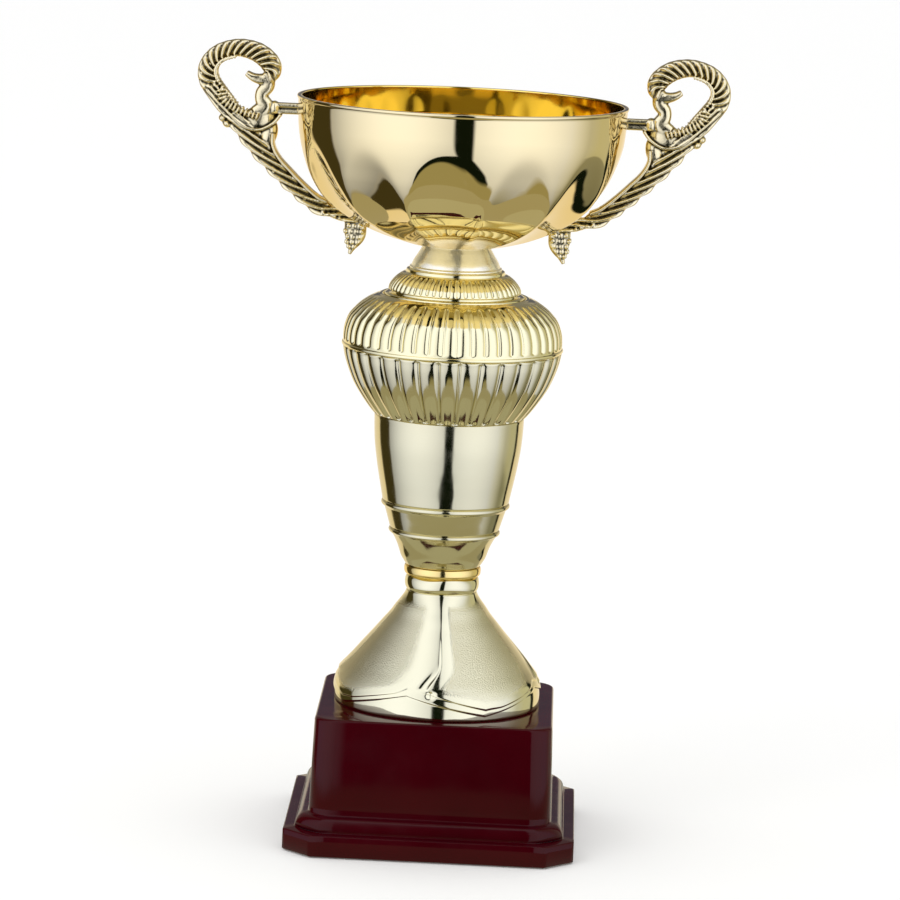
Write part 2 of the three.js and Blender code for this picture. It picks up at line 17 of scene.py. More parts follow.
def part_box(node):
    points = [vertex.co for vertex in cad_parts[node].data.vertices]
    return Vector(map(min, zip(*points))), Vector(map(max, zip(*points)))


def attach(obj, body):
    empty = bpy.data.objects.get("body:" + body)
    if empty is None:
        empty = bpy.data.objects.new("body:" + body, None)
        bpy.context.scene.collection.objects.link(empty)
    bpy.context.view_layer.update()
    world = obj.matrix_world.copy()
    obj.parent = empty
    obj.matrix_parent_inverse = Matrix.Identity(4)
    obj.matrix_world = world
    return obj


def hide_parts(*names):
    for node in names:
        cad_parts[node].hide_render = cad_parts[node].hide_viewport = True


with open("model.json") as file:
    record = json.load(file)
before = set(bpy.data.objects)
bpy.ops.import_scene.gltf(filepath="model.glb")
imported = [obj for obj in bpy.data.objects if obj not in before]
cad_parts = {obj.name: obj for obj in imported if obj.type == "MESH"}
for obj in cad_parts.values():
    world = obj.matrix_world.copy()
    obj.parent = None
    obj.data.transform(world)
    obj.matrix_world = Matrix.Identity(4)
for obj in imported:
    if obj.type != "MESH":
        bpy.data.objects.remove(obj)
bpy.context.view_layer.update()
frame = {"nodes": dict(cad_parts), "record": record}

MM = 0.001
FULL_TURN = 2 * math.pi

# ---- Sizes that shape the pieces, in millimetres ----

PETALS = 12
LOWER_FLUTES = 32
UPPER_FLUTES = 48
COLLAR_FLUTES = 54
ROD_HOLE = 3.4
SHEET = 1.0


def low(node):
    """Height of a CAD node's lowest point, in millimetres."""
    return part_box(node)[0].z / MM


def high(node):
    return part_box(node)[1].z / MM


def reach(node):
    """Half of a CAD node's extent along X, in millimetres."""
    lowest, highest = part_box(node)
    return (highest.x - lowest.x) / 2 / MM


# ---- Curves and profiles ----


def smoothstep(value, start, end):
    share = np.clip((value - start) / (end - start), 0, 1)
    return share * share * (3 - 2 * share)


def curve(stations, steps):
    """Points along a Catmull-Rom curve through the stations, with the given steps per span."""
    stations = np.array(stations, float)
    first = 2 * stations[0] - stations[1]
    last = 2 * stations[-1] - stations[-2]
    padded = np.vstack([first, stations, last])
    share = np.arange(steps)[:, None] / steps
    runs = []
    for a, b, c, d in zip(padded, padded[1:], padded[2:], padded[3:]):
        runs.append(0.5 * (2 * b + (c - a) * share + (2 * a - 5 * b + 4 * c - d) * share ** 2
                           + (3 * b - a - 3 * c + d) * share ** 3))
    return np.vstack([*runs, stations[-1:]])


def eased(corners, steps=5):
    """A run of points through corners given as (radius, height, easing), each eased by that much."""
    points = [np.array(corner[:2], float) for corner in corners]
    run = []
    for i, here in enumerate(points):
        easing = corners[i][2] if len(corners[i]) > 2 else 0
        if easing == 0 or i in (0, len(points) - 1):
            run.append(here)
            continue
        before, after = points[i - 1] - here, points[i + 1] - here
        start = here + before * min(easing / np.linalg.norm(before), 0.48)
        end = here + after * min(easing / np.linalg.norm(after), 0.48)
        for share in np.linspace(0, 1, steps):
            run.append((1 - share) ** 2 * start + 2 * share * (1 - share) * here + share ** 2 * end)
    return np.array(run)


def bead(radius, bottom, top, bulge, steps=12):
    """A rounded bead standing out of a wall between two heights."""
    turn = np.linspace(0, math.pi, steps)
    middle, half = (bottom + top) / 2, (top - bottom) / 2
    return np.column_stack([radius + bulge * np.sin(turn), middle - half * np.cos(turn)])


def offset(run, distance):
    """The run moved sideways, towards the axis for a positive distance when it runs upwards."""
    along = np.gradient(run, axis=0)
    along /= np.linalg.norm(along, axis=1)[:, None]
    return run + distance * np.column_stack([-along[:, 1], along[:, 0]])


# ---- Meshes ----


def grid_faces(rows, columns, rows_close=True, columns_close=True):
    row = np.arange(rows if rows_close else rows - 1)[:, None]
    column = np.arange(columns if columns_close else columns - 1)[None, :]
    next_row, next_column = (row + 1) % rows, (column + 1) % columns
    corners = [row * columns + column, row * columns + next_column,
               next_row * columns + next_column, next_row * columns + column]
    return np.stack([np.broadcast_to(c, (row.shape[0], column.shape[1])) for c in corners],
                    axis=-1).reshape(-1, 4)


def mesh_of(name, points, faces, is_smooth=True):
    """A mesh object from points in millimetres."""
    mesh = bpy.data.meshes.new(name)
    mesh.from_pydata((np.asarray(points) * MM).tolist(), [], [list(map(int, face)) for face in faces])
    mesh.polygons.foreach_set("use_smooth", [is_smooth] * len(mesh.polygons))
    mesh.update()
    piece = bpy.data.objects.new(name, mesh)
    bpy.context.scene.collection.objects.link(piece)
    return piece


def finish_piece(piece, material, slot, *nodes):
    """Gives a piece its material and its body, and hides the CAD nodes that it stands for. The slot argument
    is not used.
    """
    piece.data.materials.clear()
    piece.data.materials.append(material)
    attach(piece, "root")
    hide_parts(*nodes)
    return piece


def round_points(radius, height, angle):
    """Points of a round surface, row by row, and how many rows and columns they make."""
    radius, height, angle = np.broadcast_arrays(radius, height, angle)
    points = np.stack([radius * np.sin(angle), -radius * np.cos(angle), height], axis=-1)
    return points.reshape(-1, 3), radius.shape


def revolve(name, profile, columns, relief=None):
    """A closed ring-shaped piece: the profile runs up the outside and back down the inside."""
    radius, height = profile[:, 0][:, None], profile[:, 1][:, None]
    angle = np.linspace(0, FULL_TURN, columns, endpoint=False)[None, :]
    if relief:
        radius, height = relief(radius, height, angle)
    points, shape = round_points(radius, height, angle)
    return mesh_of(name, points, grid_faces(*shape))


def across_lobe(angle, count):
    """Where an angle falls across its lobe: 0 in the middle and 1 in the groove to the next."""
    step = FULL_TURN / count
    return np.abs(angle / step - np.round(angle / step)) * 2


def lobes(angle, count, crown, groove, groove_width):
    """How far a fluted wall stands back from its crests."""
    across = across_lobe(angle, count)
    return (crown * (1 - np.sqrt(1 - 0.9 * across ** 2))
            + groove * np.exp(-((1 - across) / groove_width) ** 2))


# ---- Cup ----

CUP_BOTTOM = low("cup_bowl")
CUP_HEIGHT = high("cup_bowl") - CUP_BOTTOM
RIM_RADIUS = 70.0
ROUND_WALL = [(17, 0), (22, 0.9), (31, 3.4), (41, 7.4), (50.2, 12.4), (56.8, 17.8), (61.2, 23.6),
              (64.3, 29.6), (66.5, 36), (68, 42), (68.9, 48), (69.35, 54), (69.5, 59)]
LINING_RADIUS = 67.9                # of the lining's upright part below the rim
BOTTOM_RADIUS, BOLT_SEAT = 17, 10   # of the cup's flat bottom and of the ring round its hole
PETAL_TOP, PETAL_SHOULDER = 42.5, 12.0
PETAL_DEPTH = 0.072                 # a share of the cup's radius
PETAL_TURN = math.radians(-4.5)
CREASE_SOFTNESS = 0.09


def petal_depth(height, angle):
    """How deep the dished petals are pressed in, as a share of the cup's radius at each place."""
    half = FULL_TURN / PETALS / 2
    turn = angle - PETAL_TURN
    across = (turn - 2 * half * np.round(turn / (2 * half))) / half
    rise = np.clip((height - PETAL_SHOULDER) / (PETAL_TOP - PETAL_SHOULDER), 0, 2)
    dish = 1 - across ** 2 - rise ** 1.6
    return PETAL_DEPTH * CREASE_SOFTNESS * np.logaddexp(0, dish / CREASE_SOFTNESS)


def petal_relief(radius, height, angle):
    """Presses the petals into the round cup, dying out on its flat bottom and below its rim."""
    fade = smoothstep(radius, BOTTOM_RADIUS, 27) * (1 - smoothstep(height, 51, 57))
    return radius * (1 - fade * petal_depth(height, angle)), height


def cup_bowl(outer, lining_gold):
    """The pressed cup with its rolled rim, in one gold outside and another inside."""
    wall = curve(ROUND_WALL, 14)
    lining = offset(wall, SHEET)[::-1]
    lining = lining[lining[:, 1] > SHEET + 0.05]
    lining[:, 0] = np.minimum(lining[:, 0], LINING_RADIUS + 0.2 * smoothstep(lining[:, 1], 58, 47))
    rim = eased([(69.55, CUP_HEIGHT - 1.5), (RIM_RADIUS, CUP_HEIGHT - 1.0, 0.4),
                 (RIM_RADIUS, CUP_HEIGHT, 0.45), (LINING_RADIUS, CUP_HEIGHT, 0.45),
                 (LINING_RADIUS, CUP_HEIGHT - 1.0)])
    bottom = np.array([(ROD_HOLE, 0), (BOLT_SEAT, 0)])
    floor = np.array([(BOTTOM_RADIUS, SHEET), (BOLT_SEAT, SHEET), (ROD_HOLE, SHEET)])
    profile = np.vstack([bottom, wall, rim, lining, floor])
    profile[:, 1] += CUP_BOTTOM

    def relief(radius, height, angle):
        return petal_relief(radius, height - CUP_BOTTOM, angle)[0], height

    piece = finish_piece(revolve("cup", profile, 32 * PETALS, relief), outer, "cup_gold", "cup_bowl")
    piece.data.materials.append(lining_gold)
    for face in piece.data.polygons:
        is_inside = face.normal.x * face.center.x + face.normal.y * face.center.y < 0
        is_floor = face.normal.z > 0.5 and face.center.z < (CUP_BOTTOM + CUP_HEIGHT / 2) * MM
        face.material_index = int(is_inside or is_floor)


# ---- Column ----


def column_piece(name, node, outside, columns, material, relief=None, top_web=True):
    """A moulded column piece from its outside run, with its hollow and its web at the top or bottom."""
    wall = 2.0
    top, bottom = outside[-1], outside[0]
    inside = min(outside[:, 0].min(), 12.0)
    if top_web:
        back = [(ROD_HOLE, top[1]), (ROD_HOLE, top[1] - wall), (top[0] - wall, top[1] - wall),
                (max(inside, bottom[0] - 3 * wall), bottom[1] + 1), (bottom[0] - wall, bottom[1])]
    else:
        back = [(top[0] - wall, top[1]), (bottom[0] - wall, bottom[1] + wall), (ROD_HOLE, bottom[1] + wall),
                (ROD_HOLE, bottom[1])]
    profile = np.vstack([outside, back])
    profile[:, 1] += low(node)
    return finish_piece(revolve(name, profile, columns, relief), material, "column_gold", node)


def neck_riser(material):
    cone = curve([(18.9, 1.2), (18.0, 3.4), (16.3, 6.1), (14.5, 9.3), (14.2, 10.2)], 8)
    foot = eased([(19.6, 0), (19.7, 0.9, 0.5), (18.9, 1.2)])
    column_piece("neck", "neck_riser", np.vstack([foot[:-1], cone]), 128, material)


def gadroon_collar(material):
    base = low("gadroon_collar")
    flange = eased([(29.2, 0), (29.9, 0.5, 0.5), (29.7, 1.7, 0.9), (28.4, 2.2, 0.4), (27.0, 1.9, 0.3),
                    (26.9, 2.9, 0.3), (27.9, 3.1)], 7)
    shoulder = curve([(28.2, 3.3), (28.0, 4.6), (27.1, 6.3), (25.2, 8.5), (22.8, 10.3), (21.6, 10.8)], 8)
    band = eased([(20.9, 10.9, 0.2), (21.0, 11.6, 0.3), (20.8, 12.3, 0.4), (19.8, 12.5)])

    def relief(radius, height, angle):
        fade = smoothstep(height - base, 3.2, 4.2) * (1 - smoothstep(height - base, 9.6, 10.6))
        fade = fade * smoothstep(radius, 19, 20)
        return radius - fade * lobes(angle, COLLAR_FLUTES, 0.75, 0.2, 0.3), height

    column_piece("collar", "gadroon_collar", np.vstack([flange, shoulder, band]), 12 * COLLAR_FLUTES,
                 material, relief)


def bulb_upper(material):
    base = low("bulb_upper")
    ridge = np.vstack([[(46.2, 0)], bead(46.5, 0.1, 1.7, 0.6, 9)])
    dome = curve([(46.5, 2.0), (46.6, 4), (46.2, 8), (44.6, 12.6), (42.2, 15.6), (39.8, 17.9), (36.2, 20.4),
                  (33.6, 21.7), (32.0, 22.2)], 7)
    lip = eased([(31.4, 22.6, 0.3), (30.6, 22.5, 0.3), (30.2, 21.3, 0.1), (29, 21.25)])

    def relief(radius, height, angle):
        fade = smoothstep(height - base, 2.2, 3.4) * (1 - smoothstep(height - base, 20.2, 21.6))
        fade = fade * smoothstep(radius, 30, 32)
        return radius - fade * lobes(angle, UPPER_FLUTES, 1.2, 0.3, 0.3), height

    column_piece("bulb_upper_half", "bulb_upper", np.vstack([ridge, dome, lip]), 12 * UPPER_FLUTES,
                 material, relief)


def bulb_lower(material):
    base = low("bulb_lower")
    wall = curve([(32.3, 0.2), (34.6, 2.8), (38.4, 8), (41.6, 13.2), (43.9, 18.4), (45.6, 23.5),
                  (46.6, 28.2)], 8)
    outside = np.vstack([[(31.6, 0)], wall, [(46.2, 28.75)]])

    def relief(radius, height, angle):
        fade = smoothstep(height - base, 0, 0.8) * (1 - smoothstep(height - base, 28, 28.7))
        fade = fade * smoothstep(radius, 31, 32.2)
        narrowing = 0.2 + 0.1 * smoothstep(height - base, 20, 0)
        return radius - fade * lobes(angle, LOWER_FLUTES, 2.0, 0.4, narrowing), height

    column_piece("bulb_lower_half", "bulb_lower", outside, 16 * LOWER_FLUTES, material, relief,
                 top_web=False)


def stem(material):
    lower = curve([(15.9, 0.2), (17.2, 2.2), (18.3, 4.2), (19.6, 8.0), (21.1, 11.3), (22.7, 13.9)], 5)
    middle = curve([(23.3, 16.0), (24.25, 19.2), (25.2, 22.4), (26.2, 25.6)], 4)
    upper = curve([(27.0, 27.9), (27.9, 32.6), (29.1, 38.6), (30.2, 44.8), (31.2, 51.8), (31.7, 58.4),
                   (31.9, 64.6)], 6)
    outside = np.vstack([[(15.2, 0)], lower[:-1], bead(22.7, 13.9, 16.0, 1.15), middle,
                         bead(26.3, 25.6, 27.9, 1.2), upper, [(31.6, 65)]])
    column_piece("stem_body", "stem", outside, 160, material)


def waist_ring(material):
    outside = eased([(14.2, 0), (15.9, 0.1, 0.5), (16.4, 1.0, 0.8), (16.5, 2.8, 1.0), (16.1, 3.9, 0.4),
                     (15.0, 4.0)], 7)
    profile = np.vstack([outside, [(ROD_HOLE, 4.0), (ROD_HOLE, 0)]])
    profile[:, 1] += low("waist_ring")
    finish_piece(revolve("waist_band", profile, 128), material, "cup_gold", "waist_ring")


# ---- Draped foot ----

FOOT_BOTTOM = low("flared_foot")
HEM_PERIOD = 90                  # degrees from one peak of the hem to the next
HEM_PEAK, HEM_VALLEY = -16, 29   # degrees round from the front
HEM_PEAK_HEIGHT, HEM_VALLEY_HEIGHT = 10.2, 2.4
HEM_WIDE, HEM_NARROW = 3.0, 1.4  # heights of the bevelled strip above the hem
FOLD_ANGLE = 3                   # degrees round to the fold nearest the front
FOLD_HEIGHT = 0.12
FOLD_REACH = 6.0
DRAPE = 1.15                     # how far the drape stands out of the cone
CUFF_ROWS, EDGE_ROWS, BEVEL_ROWS, LIP_ROWS, DRAPE_ROWS = 10, 3, 6, 3, 110
FOOT_CONE = [(44.2, 0), (44.1, 5), (43.5, 8.5), (42.3, 11.4), (40.3, 14.3), (37.6, 17.6), (33.9, 22.2),
             (30.6, 26.2), (27.0, 30.5), (23.4, 34.9), (20.1, 38.9), (17.5, 43.0), (15.8, 46.4),
             (15.0, 48.6)]
KNOP_TOP, FOOT_TOP, FOOT_WEB = 55.2, 55.5, 2.0


def hem_share(degrees):
    """0 at the hem's valleys and 1 at its peaks, in straight lines."""
    rise = HEM_PERIOD - (HEM_VALLEY - HEM_PEAK)
    turn = np.mod(degrees - HEM_VALLEY, HEM_PERIOD)
    return np.where(turn < rise, turn / rise, (HEM_PERIOD - turn) / (HEM_PERIOD - rise))


def hem_height(degrees):
    return HEM_VALLEY_HEIGHT + (HEM_PEAK_HEIGHT - HEM_VALLEY_HEIGHT) * hem_share(degrees)


def hem_strip(degrees):
    """Height of the bevelled strip above the hem: narrow up to each peak and wide on the way down."""
    rise = HEM_PERIOD - (HEM_VALLEY - HEM_PEAK)
    turn = np.mod(degrees - HEM_VALLEY, HEM_PERIOD)
    wide = smoothstep(turn, rise - 8, rise + 4) * (1 - 0.3 * smoothstep(turn, rise + 10, HEM_PERIOD))
    past_valley = 0.7 * (1 - smoothstep(turn, 0, 12)) * (turn < rise)
    return HEM_NARROW + (HEM_WIDE - HEM_NARROW) * (wide + past_valley)


def fold_turn(degrees, height):
    """Degrees to the right of the nearest fold, whose edge hooks to the left near its lower end."""
    hook = 7.5 * smoothstep(height, 24, 12.5) ** 1.5
    return np.mod(degrees - FOLD_ANGLE + hook + HEM_PERIOD / 2, HEM_PERIOD) - HEM_PERIOD / 2


def foot_relief(height, degrees):
    """How far the drape's folds stand out of the cone: a roof-like edge where two panels meet, with
    the right-hand one lifted off the other near its lower corner."""
    turn = fold_turn(degrees, height)
    edge = FOLD_HEIGHT * np.exp(-np.sqrt(turn ** 2 + 0.15) / FOLD_REACH)
    lifted = smoothstep(height, 34, 14) * smoothstep(turn, -0.7, 0.4) * (1 - smoothstep(turn, 3, 32))
    hollow = -0.4 * smoothstep(height, 24, 14) ** 1.5 * np.exp(-((turn + 3.0) / 2.4) ** 2)
    along = smoothstep(height, 12.6, 13.6) * (1 - 0.6 * smoothstep(height, 36, 48))
    notch = -0.9 * np.exp(-((turn - 2.2) / 1.8) ** 2) * smoothstep(height, 9.4, 10.6) \
        * (1 - smoothstep(height, 11.6, 12.8))
    return along * (edge + 0.55 * lifted + hollow) + notch


def foot_height_rows(hem, strip, top):
    """Heights up the foot for each angle, with rows kept on the hem's edges."""
    below = np.linspace(0, 1, CUFF_ROWS)[:, None] * (hem - 0.25)
    edge = hem + np.linspace(-0.12, 0.12, EDGE_ROWS)[:, None]
    bevel = hem + 0.2 + np.linspace(0, 1, BEVEL_ROWS)[:, None] * strip
    lip = hem + strip + np.array([0.3, 0.5, 0.75])[:, None]
    start = hem + strip + 1.0
    rest = start + np.linspace(0, 1, DRAPE_ROWS)[:, None] ** 1.1 * (top - start)
    return np.vstack([below, edge, bevel, lip, rest])


def foot_steps():
    """Outward steps of the rows from foot_height_rows: cuff, hem edge, bevelled strip and drape."""
    counts = [(CUFF_ROWS, 0.0, 0.0), (EDGE_ROWS, 0.1, 0.75), (BEVEL_ROWS, 0.8, 0.85),
              (LIP_ROWS, 0.95, DRAPE), (DRAPE_ROWS, DRAPE, DRAPE)]
    return np.concatenate([np.linspace(start, end, count) for count, start, end in counts])[:, None]


def foot_drape(degrees):
    """Radii and heights of the draped cone's rows at each angle."""
    cone = curve(FOOT_CONE, 8)
    top = FOOT_CONE[-1][1]
    height = foot_height_rows(hem_height(degrees), hem_strip(degrees), top)
    fade = 1 - smoothstep(height, top - 8, top)
    settle = smoothstep(height, 0, 0.8)
    cone_radius = np.interp(height, cone[:, 1], cone[:, 0])
    raised = (foot_steps() + foot_relief(height, degrees)) * fade
    return cone_radius + raised - 0.5 * (1 - settle), height


def foot_knop(degrees):
    """Radii and heights of the wavy knop on the foot's neck, its top and the inside of the foot."""
    knop = bead(14.5, FOOT_CONE[-1][1] + 0.1, KNOP_TOP, 1.4, 16)
    inside = [(14.4, FOOT_TOP), (ROD_HOLE, FOOT_TOP), (ROD_HOLE, FOOT_TOP - FOOT_WEB),
              (12.5, FOOT_TOP - FOOT_WEB), (12.5, 46), (38, 12), (41.5, 5), (42, 0)]
    run = np.vstack([knop, inside])
    on_knop = (np.arange(len(run)) < len(knop))[:, None]
    swell = np.sin(np.linspace(0, math.pi, len(run)))[:, None]
    wave = 0.45 * np.sin(np.radians(degrees * 4 + 20))
    height = run[:, 1][:, None] + wave * on_knop * swell
    return np.broadcast_to(run[:, 0][:, None], height.shape), height


def flared_foot(material):
    """The draped foot as one closed skin."""
    columns = 720
    degrees = (np.arange(columns) * 360 / columns)[None, :]
    drape_radius, drape_height = foot_drape(degrees)
    knop_radius, knop_height = foot_knop(degrees)
    radius = np.vstack([drape_radius, knop_radius])
    height = np.vstack([drape_height, knop_height]) + FOOT_BOTTOM
    points, shape = round_points(radius, height, np.radians(degrees))
    piece = mesh_of("draped_foot", points, grid_faces(*shape))
    return finish_piece(piece, material, "column_gold", "flared_foot")


# ---- Handles ----

ARM = [(43, 262.6), (50, 265.2), (58.2, 267.6), (67.6, 274.4), (76.6, 282.4), (85, 291.2), (91.6, 299.6),
       (96.4, 306.4)]
LOOP = [(91, 300.5), (97.4, 306.6), (103.8, 314.2), (107.6, 320), (107.8, 325.8), (103.8, 330.9),
        (96.2, 333.4), (88.4, 332.2), (82.8, 328.5), (80.8, 324.2), (82.8, 320.9)]
BEAK = [(81, 322), (84.6, 320.6), (88.6, 321.2), (91.8, 323.0)]
NECK = [(82.6, 321.6), (82.6, 317.8), (84.8, 315), (84.8, 312), (83.4, 309.4), (87, 306)]
PEG_HEIGHT = 308.75
HANDLE_HALF_THICKNESS = 4.1


def frames_along(stations, steps):
    """Points, sideways directions and distances along a curve in the XZ plane."""
    line = curve(stations, steps)
    along = np.gradient(line, axis=0)
    along /= np.linalg.norm(along, axis=1)[:, None]
    distance = np.concatenate([[0], np.cumsum(np.linalg.norm(np.diff(line, axis=0), axis=1))])
    return line, np.column_stack([-along[:, 1], along[:, 0]]), distance


def band(stations, steps, half_width, half_thickness, ornament=None, sides=72):
    """A closed scroll band: points and faces of a swept soft-cornered section with ornament on it."""
    line, side, distance = frames_along(stations, steps)
    share = distance / distance[-1]
    turn = np.linspace(0, FULL_TURN, sides, endpoint=False)[None, :]
    across = np.cos(turn)
    through = np.sign(np.sin(turn)) * (1 - np.abs(across) ** 3) ** (1 / 3)
    width, thickness = half_width(share)[:, None], half_thickness(share)[:, None]
    if ornament is not None:
        raised = ornament(distance[:, None], across, width)
        width, thickness = width + 0.6 * raised, thickness + raised
    flat = line[:, None, :] + side[:, None, :] * (across * width)[:, :, None]
    points = np.stack([flat[..., 0], through * thickness, flat[..., 1]], axis=-1).reshape(-1, 3)
    ends = [[line[0][0], 0, line[0][1]], [line[-1][0], 0, line[-1][1]]]
    count, rows = len(points), len(line)
    faces = grid_faces(rows, sides, rows_close=False).tolist()
    for i in range(sides):
        after = (i + 1) % sides
        faces.append([count, after, i])
        faces.append([count + 1, (rows - 1) * sides + i, (rows - 1) * sides + after])
    return np.vstack([points, ends]), faces


def ball(centre, radii, tilt=0.0, rows=10, columns=14):
    """An ellipsoid turned by tilt in the XZ plane."""
    up = np.linspace(0, math.pi, rows)[:, None]
    round_ = np.linspace(0, FULL_TURN, columns, endpoint=False)[None, :]
    x = radii[0] * np.sin(up) * np.cos(round_)
    y = radii[1] * np.sin(up) * np.sin(round_)
    z = radii[2] * np.cos(up) * np.ones_like(round_)
    turned_x = x * math.cos(tilt) - z * math.sin(tilt)
    turned_z = x * math.sin(tilt) + z * math.cos(tilt)
    points = np.stack([turned_x + centre[0], y + centre[1], turned_z + centre[2]], axis=-1).reshape(-1, 3)
    return points, grid_faces(rows, columns, rows_close=False).tolist()


def strands(phase, unshaded_share):
    """Rounded strands with dark valleys between them, one per unit of phase."""
    return unshaded_share * (np.cos(math.pi * phase) ** 2 - 1)


def rope(distance, across, width):
    """Long strands up the outside of the loop that turn into the raked lay of a rope over its top."""
    long = strands(across * width / 2.3 + distance / 16, 1.2)
    laid = strands(distance / 3.1 + 0.2 * across * width, 1.4)
    share = smoothstep(distance, 21, 25)
    return (long * (1 - share) + laid * share) * smoothstep(np.abs(across), 1.05, 0.8)


def feather(distance, across, width):
    """Long strands that cross the arm at a slant."""
    return strands(distance / 7.7 + across * width / 3.1, 1.5)


def beads_along(stations, first, last, shift, pitch, radii, unshaded_share):
    """A row of small beads beside a curve, on both faces."""
    line, side, distance = frames_along(stations, 24)
    parts = []
    for at in np.arange(first, last, pitch):
        here = np.array([np.interp(at, distance, line[:, k]) for k in (0, 1)])
        sideways = np.array([np.interp(at, distance, side[:, k]) for k in (0, 1)])
        spot = here + shift * sideways
        tilt = math.atan2(sideways[1], sideways[0])
        for face in (-1, 1):
            parts.append(ball((spot[0], face * unshaded_share, spot[1]), radii, tilt))
    return parts


def constant(value):
    return lambda share: np.full_like(share, value)


def handle_parts():
    """Every closed body that is fused into one cast handle, for the right-hand side."""
    thick = HANDLE_HALF_THICKNESS
    parts = [
        band(ARM, 30, lambda s: 2.4 + 1.7 * smoothstep(s, 0, 0.3) + 0.9 * smoothstep(s, 0.5, 0.9),
             constant(thick - 0.3), feather),
        band(LOOP, 30, lambda s: 3.0 + 1.5 * smoothstep(s, 0, 0.2) - 0.9 * smoothstep(s, 0.35, 0.55)
             + 0.7 * smoothstep(s, 0.6, 0.85) - 1.3 * smoothstep(s, 0.9, 1), constant(thick), rope),
        band(BEAK, 10, lambda s: 3.2 - 2.0 * s, constant(thick - 0.8)),
        band(NECK, 12, lambda s: 2.9 + 0.6 * smoothstep(s, 0.4, 1), constant(thick - 0.9)),
        ball((86.4, 0, 303.6), (7.6, thick - 0.7, 5.6), -0.35, 20, 40),
        ball((81.4, 0, 297.6), (3.6, thick - 0.9, 6.4), 0.25, 20, 32),
    ]
    inner_border = [(55.6, 270.2), (60.2, 272.4), (66.2, 277.4), (71.6, 282.6), (76.6, 287.8), (79.4, 293),
                    (79.6, 298.2)]
    parts.append(band(inner_border, 14, constant(0.95), constant(thick + 0.1)))
    parts.append(band([(76.6, 306.2), (80, 302.2), (86, 299.4), (92.6, 301), (99, 306.4)], 12, constant(0.8),
                      constant(thick + 0.2)))
    parts += beads_along(LOOP, 10, 46, 3.5, 1.6, (0.95, 0.8, 0.5), thick - 0.2)
    parts += beads_along([(102.6, 316), (100.4, 310.6), (92.6, 306.8), (84.6, 304.6)], 0.5, 22, 0, 1.7,
                         (1.7, 1.1, 0.6), thick - 0.2)
    for height in (-1.35, 1.35):
        rail = [(x, PEG_HEIGHT + height) for x in (68.2, 74, 82)]
        parts.append(band(rail, 6, constant(1.1), constant(2.3), sides=20))
    parts.append(band([(69.4, PEG_HEIGHT), (82, PEG_HEIGHT)], 8, constant(1.2), constant(1.8), sides=20))
    parts.append(ball((79.4, 0, PEG_HEIGHT), (2.4, 3.2, 3.1), 0, 16, 24))
    parts += [ball((101.4, 0, 303.4), (1.7, 3.0, 1.4), 0.7), ball((99.4, 0, 301.2), (2.0, 3.2, 1.6), 0.7)]
    parts += leaf_parts()
    return parts


def leaf_parts():
    """The leaf that hangs from the lower end of the arm, with its berries."""
    leaf = [(43.4, 266.4), (43.2, 260.6), (43.4, 255.4), (44.6, 250.6), (45.4, 248.3)]
    parts = [band(leaf, 12, lambda s: 5.3 - 0.6 * smoothstep(s, 0, 0.3)
                  - 3.9 * smoothstep(s, 0.45, 1) ** 1.2,
                  lambda s: 2.9 - 1.4 * smoothstep(s, 0.4, 1))]
    for row, (height, count) in enumerate(((260.6, 3), (258.2, 4), (255.8, 3), (253.6, 3), (251.6, 2))):
        for place in range(count):
            x = 43.7 + 2.35 * (place - (count - 1) / 2) + 0.25 * row
            for face in (-1, 1):
                parts.append(ball((x, face * (2.55 - 0.2 * row), height), (1.0, 0.8, 1.0), 0, 8, 12))
    for place in range(4):
        parts.append(ball((50 + 2.4 * place, 0, 263.4 + 0.75 * place), (1.3, 3.9, 1.2), 0.4, 8, 14))
    return parts


def cup_cutter():
    """A closed solid of the cup, grown by a hair, that the handle's ends are cut back to."""
    hair = 0.12
    wall = offset(curve(ROUND_WALL, 4), -hair)
    profile = np.vstack([[(0.01, -hair)], wall, [(69.5 + hair, CUP_HEIGHT), (0.01, CUP_HEIGHT)]])
    angle = np.linspace(0, FULL_TURN, 24 * PETALS, endpoint=False)[None, :]
    radius, height = petal_relief(profile[:, 0][:, None], profile[:, 1][:, None], angle)
    points, (rows, columns) = round_points(radius, height + CUP_BOTTOM, angle)
    faces = grid_faces(rows, columns, rows_close=False).tolist()
    faces.append(list(range(columns))[::-1])
    faces.append(list(range((rows - 1) * columns, rows * columns)))
    return mesh_of("cup_cutter", points, faces)


def apply_modifiers(piece):
    """Makes a piece's modifiers part of its mesh."""
    graph = bpy.context.evaluated_depsgraph_get()
    mesh = bpy.data.meshes.new_from_object(piece.evaluated_get(graph))
    piece.modifiers.clear()
    piece.data = mesh


def keep_largest_part(piece):
    """Drops the small closed pockets that fusing can leave inside a casting."""
    mesh = bmesh.new()
    mesh.from_mesh(piece.data)
    waiting, parts = set(mesh.verts), []
    while waiting:
        part, edge = set(), {waiting.pop()}
        while edge:
            part |= edge
            edge = {end for vertex in edge for link in vertex.link_edges for end in link.verts} - part
        waiting -= part
        parts.append(part)
    parts.sort(key=len)
    bmesh.ops.delete(mesh, geom=[vertex for part in parts[:-1] for vertex in part], context="VERTS")
    mesh.to_mesh(piece.data)
    mesh.free()


